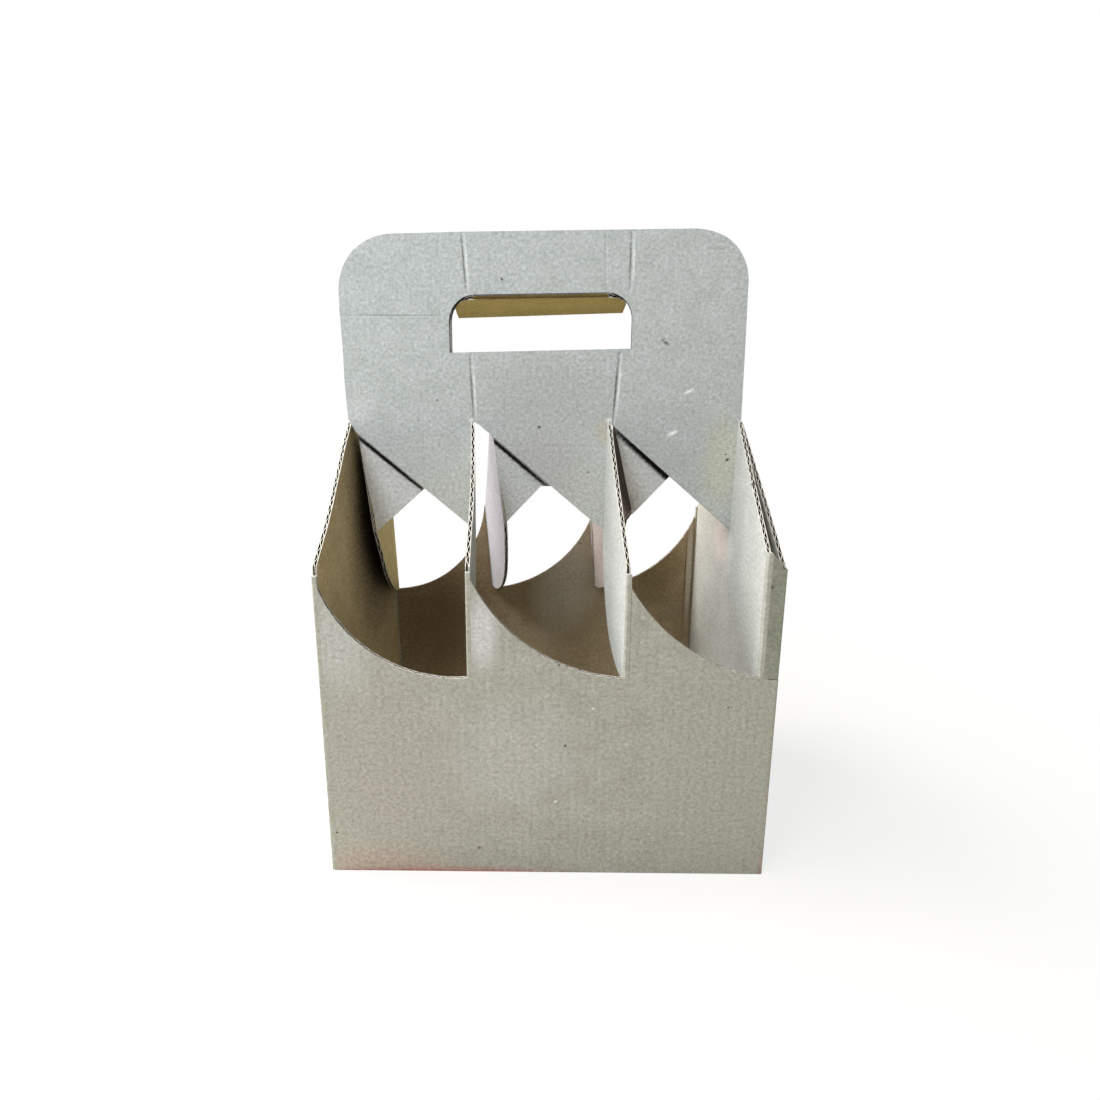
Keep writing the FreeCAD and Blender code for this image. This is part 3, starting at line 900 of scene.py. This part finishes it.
# the rolled fibres of the flap's crease
bpy.ops.object.select_all(action="DESELECT")
start, end = HOLE_LEFT + HOLE_CORNER, HOLE_RIGHT - HOLE_CORNER
roll_way = at(end, 0, lift(end)) - at(start, 0, lift(start))
bpy.ops.mesh.primitive_cylinder_add(vertices=24, radius=BOARD / 2000, depth=roll_way.length,
                                    location=(0, 0, 0))
roll = bpy.context.object
edit(roll)
bpy.ops.transform.rotate(value=math.pi / 2, orient_axis="Y", center_override=(0, 0, 0))
slant = math.atan2(roll_way.z, roll_way.x)
bpy.ops.transform.rotate(value=slant, orient_axis="Y", center_override=(0, 0, 0))
middle = (start + end) / 2
bpy.ops.transform.translate(value=at(middle, pivot_y, pivot_z + 0.05 + lift(middle)))
done()
roll.data.materials.append(flap_fold)
keep_flat_map(roll, 3.9)
flap = join([flap, roll], "hand_hole_flap_board")
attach(flap, "flap")
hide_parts("hand_hole_flap")


# floor, light and camera

bpy.ops.mesh.primitive_plane_add(size=8, location=(0, 0, 0))
floor = bpy.context.object
floor.name = "floor"


def pale_ground(name):
    """Pale matt studio floor: it reads as white, fading to pure white away from the box, and keeps
    the soft shadow at the box's foot."""
    material = bpy.data.materials.new(name)
    material.use_nodes = True
    tree = material.node_tree
    tree.nodes.clear()
    paint = node(tree, "ShaderNodeBsdfDiffuse", {"Color": colour("#e4dfd5")})
    white = node(tree, "ShaderNodeEmission", {"Color": (1, 1, 1, 1), "Strength": 1.0})
    place = node(tree, "ShaderNodeTexCoord")
    away = node(tree, "ShaderNodeVectorMath", {"operation": "LENGTH"}, i0=place.outputs["Object"])
    reach = {"From Min": 0.16, "From Max": 0.42, "To Min": 0.8, "To Max": 1.0}
    fade = node(tree, "ShaderNodeMapRange", reach, Value=away.outputs["Value"])
    path = node(tree, "ShaderNodeLightPath")
    share = node(tree, "ShaderNodeMath", {"operation": "MULTIPLY"}, i0=path.outputs["Is Camera Ray"],
                 i1=fade.outputs[0])
    both = node(tree, "ShaderNodeMixShader", s0=share.outputs[0], s1=paint.outputs[0], s2=white.outputs[0])
    node(tree, "ShaderNodeOutputMaterial", Surface=both.outputs[0])
    return material


floor.data.materials.append(pale_ground("studio_floor"))

world = bpy.data.worlds.new("studio")
bpy.context.scene.world = world
world.use_nodes = True
tree = world.node_tree
tree.nodes.clear()
soft = node(tree, "ShaderNodeBackground", {"Color": colour("#f6f2ea"), "Strength": 0.06})
bright = node(tree, "ShaderNodeBackground", {"Color": (1, 1, 1, 1), "Strength": 1.0})
path = node(tree, "ShaderNodeLightPath")
both = node(tree, "ShaderNodeMixShader", s0=path.outputs["Is Camera Ray"], s1=soft.outputs[0],
            s2=bright.outputs[0])
node(tree, "ShaderNodeOutputWorld", Surface=both.outputs[0])


def lamp(name, place, aim, size, watts, tone):
    bpy.ops.object.light_add(type="AREA", location=place)
    light = bpy.context.object
    light.name = name
    light.data.size = size
    light.data.energy = watts
    light.data.color = colour(tone)[:3]
    light.rotation_euler = (Vector(aim) - Vector(place)).to_track_quat("-Z", "Y").to_euler()
    return light


lamp("window_left", (-1.0, -0.12, 1.28), (0, 0, 0.15), 0.7, 19, "#fffdfa")
lamp("window_left_rear", (-0.8, 0.35, 1.2), (0, 0, 0.15), 0.7, 22, "#ffffff")
lamp("ceiling_front", (0, -0.6, 1.4), (0, 0, 0.15), 0.6, 5.0, "#fff8f0")
lamp("sky_front", (-0.42, -0.5, 0.9), (0, 0, 0.2), 0.3, 6.2, "#f0f6ff")

# camera: close to the box, just above the straps' tops
bpy.ops.object.camera_add(location=at(96.14, -231.2, 208.99))
camera = bpy.context.object
camera.rotation_euler = (math.radians(90 - 10.8), math.radians(-0.11), math.radians(0.62))
camera.data.sensor_width = 36
focal_share = 569.39 / 1100  # the photo's focal length over its width, in pixels
camera.data.lens = focal_share * camera.data.sensor_width
camera.data.shift_x = 0.01497
camera.data.shift_y = -0.02222
camera.data.clip_start = 0.01
bpy.context.scene.camera = camera
bpy.context.scene.view_settings.view_transform = "Standard"
